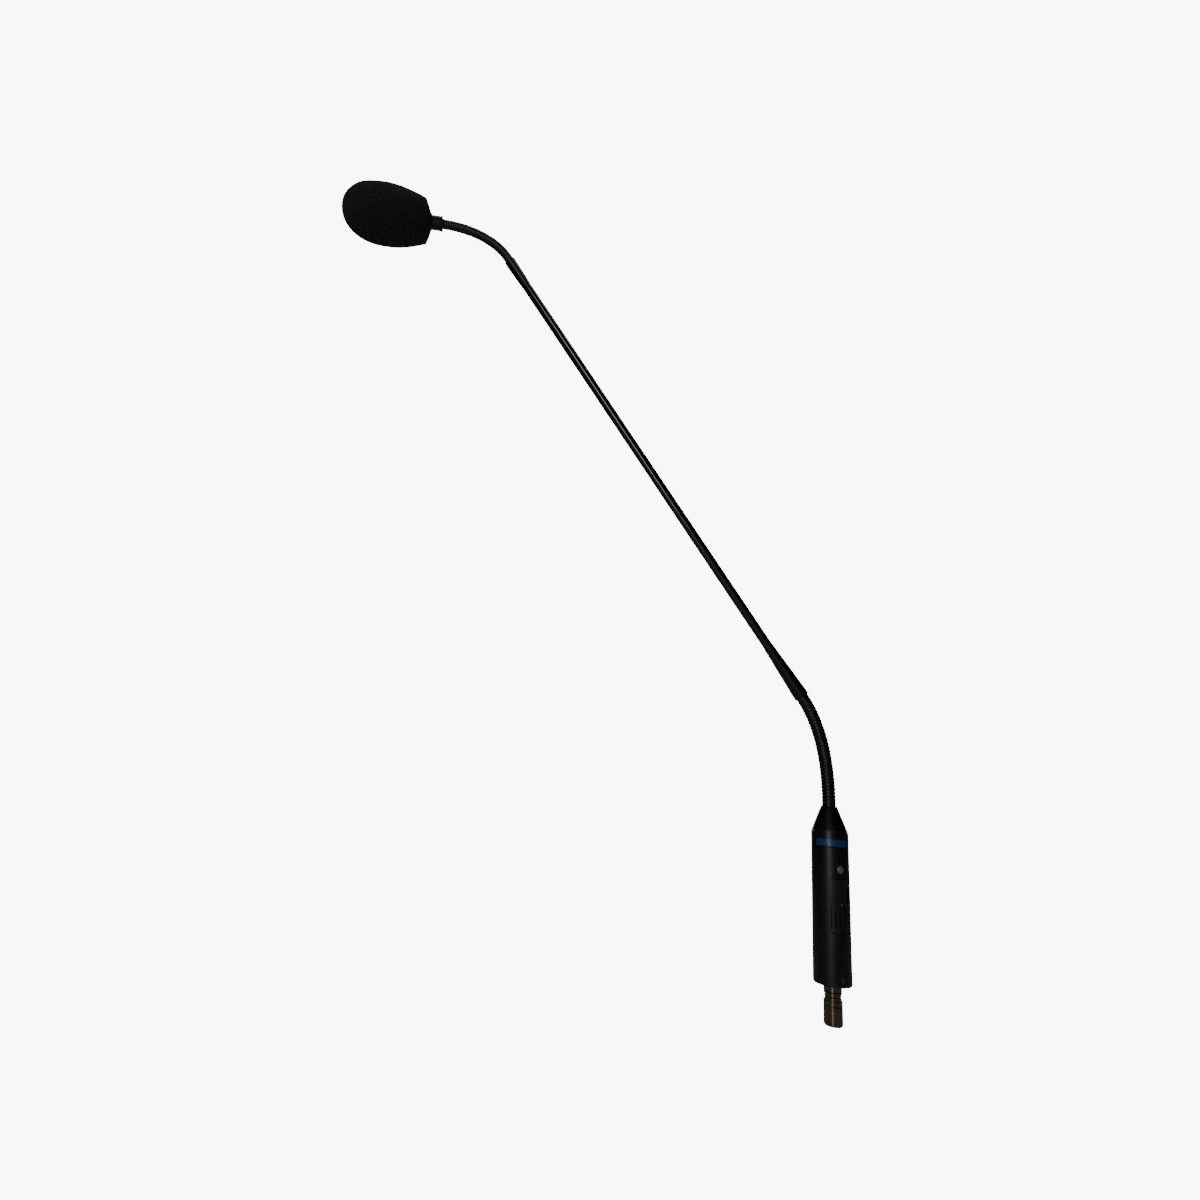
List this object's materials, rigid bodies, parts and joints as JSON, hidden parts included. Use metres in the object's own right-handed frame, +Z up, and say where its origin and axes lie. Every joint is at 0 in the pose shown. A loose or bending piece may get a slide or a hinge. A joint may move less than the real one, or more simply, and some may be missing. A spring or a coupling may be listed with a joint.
{
  "type": "gooseneck podium microphone",
  "caption": "Slim podium microphone with two flexible neck sections, a foam windscreen, and a handle with slide switch, status light and compact plug.",
  "frame": {"origin": "on the plug's axis, at the lower edge of the plug barrel's plain wall", "axes": "+Z up the handle's axis, -Y is the side of the slide switch, and the neck leans towards -X"},
  "size_m": [0.4058, 0.0422, 0.5465],
  "materials": {
    "nickel": "satin nickel plate",
    "insulator": "moulded",
    "gold": "gold-flashed contacts",
    "black_metal": "satin black paint",
    "black_tube": "gloss black",
    "black_plastic": "fine texture",
    "seal": "matt",
    "screw_steel": "turned",
    "white_mark": "moulded mark",
    "switch_metal": "pressed",
    "board": "solder resist",
    "parts": "moulded parts",
    "copper": "lacquered winding",
    "lens": "clear diffused",
    "band_blue": "gloss blue band",
    "gooseneck_black": "satin black coil",
    "gooseneck_olive": "satin black coil",
    "aluminium": "bright",
    "foam": "open-cell foam",
    "cable": "screened cable"
  },
  "bodies": {
    "handle": {"plug_barrel": "nickel", "plug_body": "nickel", "plug_insert": "insulator", "plug_contacts": "gold", "end_plug": "black_metal", "end_seal": "seal", "end_screw": "screw_steel", "body_shell": "black_metal", "switch_plate": "black_plastic", "slide_switch": "switch_metal", "circuit_board": "board", "board_parts": "parts", "output_transformer": "copper", "led_bezel": "black_plastic", "status_led": "lens", "top_cap": "black_metal", "cap_seal": "seal", "name_band": "band_blue", "neck_cone": "black_metal", "neck_nut": "screw_steel", "lower_neck_foot": "gooseneck_black", "board_cable": "cable", "lower_neck_cable": "cable"},
    "slider": {"switch_knob": "black_plastic", "switch_mark": "white_mark", "switch_actuator": "white_mark"},
    "lower_1": {"lower_link_1": "gooseneck_black"},
    "lower_2": {"lower_link_2": "gooseneck_black"},
    "lower_3": {"lower_link_3": "gooseneck_black"},
    "lower_4": {"lower_link_4": "gooseneck_black"},
    "lower_5": {"lower_link_5": "gooseneck_black"},
    "lower_6": {"lower_link_6": "gooseneck_black"},
    "lower_7": {"lower_link_7": "gooseneck_black"},
    "lower_8": {"lower_link_8": "gooseneck_black"},
    "stem": {"lower_neck_top": "gooseneck_black", "lower_swage": "black_metal", "stem_tube": "black_tube", "upper_sleeve": "black_metal", "upper_neck_foot": "gooseneck_olive", "stem_cable": "cable", "upper_neck_cable": "cable"},
    "upper_1": {"upper_link_1": "gooseneck_olive"},
    "upper_2": {"upper_link_2": "gooseneck_olive"},
    "upper_3": {"upper_link_3": "gooseneck_olive"},
    "upper_4": {"upper_link_4": "gooseneck_olive"},
    "upper_5": {"upper_link_5": "gooseneck_olive"},
    "upper_6": {"upper_link_6": "gooseneck_olive"},
    "upper_7": {"upper_link_7": "gooseneck_olive"},
    "upper_8": {"upper_link_8": "gooseneck_olive"},
    "head": {"upper_neck_top": "gooseneck_olive", "head_collar": "black_metal", "capsule_housing": "black_metal", "capsule_grille": "black_metal", "condenser_capsule": "aluminium", "capsule_seat": "seal"},
    "foam": {"windscreen": "foam"}
  },
  "joints": [
    {"name": "switch_slide", "type": "slide", "parent": "handle", "child": "slider", "axis": [0, 0, 1], "range_m": [0, 0.009]},
    {"name": "lower_bend_1", "type": "hinge", "parent": "handle", "child": "lower_1", "pos_m": [0, 0, 0.1351], "axis": [0.0006, -1, 0.0004], "range_deg": [-15, 8.5], "deforming": ["lower_neck_cable"]},
    {"name": "lower_side_2", "type": "hinge", "parent": "lower_1", "child": "lower_2", "pos_m": [-0.00028, 0, 0.14369], "axis": [0.9995, 0, 0.0332], "range_deg": [-16, 16]},
    {"name": "lower_bend_3", "type": "hinge", "parent": "lower_2", "child": "lower_3", "pos_m": [-0.00095, 0, 0.15227], "axis": [0.0006, -1, 0.0004], "range_deg": [-15, 8.5]},
    {"name": "lower_bend_4", "type": "hinge", "parent": "lower_3", "child": "lower_4", "pos_m": [-0.00207, 0, 0.1608], "axis": [0.0006, -1, 0.0004], "range_deg": [-15, 8.5]},
    {"name": "lower_side_5", "type": "hinge", "parent": "lower_4", "child": "lower_5", "pos_m": [-0.00375, 0, 0.16923], "axis": [0.9809, 0, 0.1947], "range_deg": [-16, 16]},
    {"name": "lower_bend_6", "type": "hinge", "parent": "lower_5", "child": "lower_6", "pos_m": [-0.00605, 0, 0.17752], "axis": [0.0006, -1, 0.0004], "range_deg": [-15, 8.5]},
    {"name": "lower_bend_7", "type": "hinge", "parent": "lower_6", "child": "lower_7", "pos_m": [-0.00906, 0, 0.18557], "axis": [0.0006, -1, 0.0004], "range_deg": [-15, 8.5]},
    {"name": "lower_side_8", "type": "hinge", "parent": "lower_7", "child": "lower_8", "pos_m": [-0.01283, 0, 0.1933], "axis": [0.8988, 0, 0.4384], "range_deg": [-16, 16]},
    {"name": "lower_bend_9", "type": "hinge", "parent": "lower_8", "child": "stem", "pos_m": [-0.01741, 0, 0.20059], "axis": [0.0006, -1, 0.0004], "range_deg": [-15, 8.5]},
    {"name": "upper_bend_1", "type": "hinge", "parent": "stem", "child": "upper_1", "pos_m": [-0.27234, 0, 0.51676], "axis": [0.0006, -1, 0.0004], "range_deg": [-18, 5], "deforming": ["upper_neck_cable"]},
    {"name": "upper_side_2", "type": "hinge", "parent": "upper_1", "child": "upper_2", "pos_m": [-0.27705, 0, 0.52094], "axis": [0.6642, 0, 0.7476], "range_deg": [-16, 16]},
    {"name": "upper_bend_3", "type": "hinge", "parent": "upper_2", "child": "upper_3", "pos_m": [-0.28234, 0, 0.52436], "axis": [0.0006, -1, 0.0004], "range_deg": [-18, 5]},
    {"name": "upper_bend_4", "type": "hinge", "parent": "upper_3", "child": "upper_4", "pos_m": [-0.28806, 0, 0.527], "axis": [0.0006, -1, 0.0004], "range_deg": [-18, 5]},
    {"name": "upper_side_5", "type": "hinge", "parent": "upper_4", "child": "upper_5", "pos_m": [-0.29407, 0, 0.5289], "axis": [0.3012, 0, 0.9536], "range_deg": [-16, 16]},
    {"name": "upper_bend_6", "type": "hinge", "parent": "upper_5", "child": "upper_6", "pos_m": [-0.30025, 0, 0.5301], "axis": [0.0006, -1, 0.0004], "range_deg": [-18, 5]},
    {"name": "upper_bend_7", "type": "hinge", "parent": "upper_6", "child": "upper_7", "pos_m": [-0.30653, 0, 0.53067], "axis": [0.0006, -1, 0.0004], "range_deg": [-18, 5]},
    {"name": "upper_side_8", "type": "hinge", "parent": "upper_7", "child": "upper_8", "pos_m": [-0.31283, 0, 0.53067], "axis": [0.001, 0, 1], "range_deg": [-16, 16]},
    {"name": "upper_bend_9", "type": "hinge", "parent": "upper_8", "child": "head", "pos_m": [-0.31911, 0, 0.5302], "axis": [0.0006, -1, 0.0004], "range_deg": [-18, 5]},
    {"name": "windscreen_pull", "type": "slide", "parent": "head", "child": "foam", "axis": [-0.9905, 0, -0.1378], "range_m": [0, 0.05]}
  ],
  "couplings": [
    {"joint": "lower_bend_3", "follows": "lower_bend_1", "ratio": 1},
    {"joint": "lower_bend_4", "follows": "lower_bend_1", "ratio": 1},
    {"joint": "lower_side_5", "follows": "lower_side_2", "ratio": 1},
    {"joint": "lower_bend_6", "follows": "lower_bend_1", "ratio": 1},
    {"joint": "lower_bend_7", "follows": "lower_bend_1", "ratio": 1},
    {"joint": "lower_side_8", "follows": "lower_side_2", "ratio": 1},
    {"joint": "lower_bend_9", "follows": "lower_bend_1", "ratio": 1},
    {"joint": "upper_bend_3", "follows": "upper_bend_1", "ratio": 1},
    {"joint": "upper_bend_4", "follows": "upper_bend_1", "ratio": 1},
    {"joint": "upper_side_5", "follows": "upper_side_2", "ratio": 1},
    {"joint": "upper_bend_6", "follows": "upper_bend_1", "ratio": 1},
    {"joint": "upper_bend_7", "follows": "upper_bend_1", "ratio": 1},
    {"joint": "upper_side_8", "follows": "upper_side_2", "ratio": 1},
    {"joint": "upper_bend_9", "follows": "upper_bend_1", "ratio": 1}
  ]
}
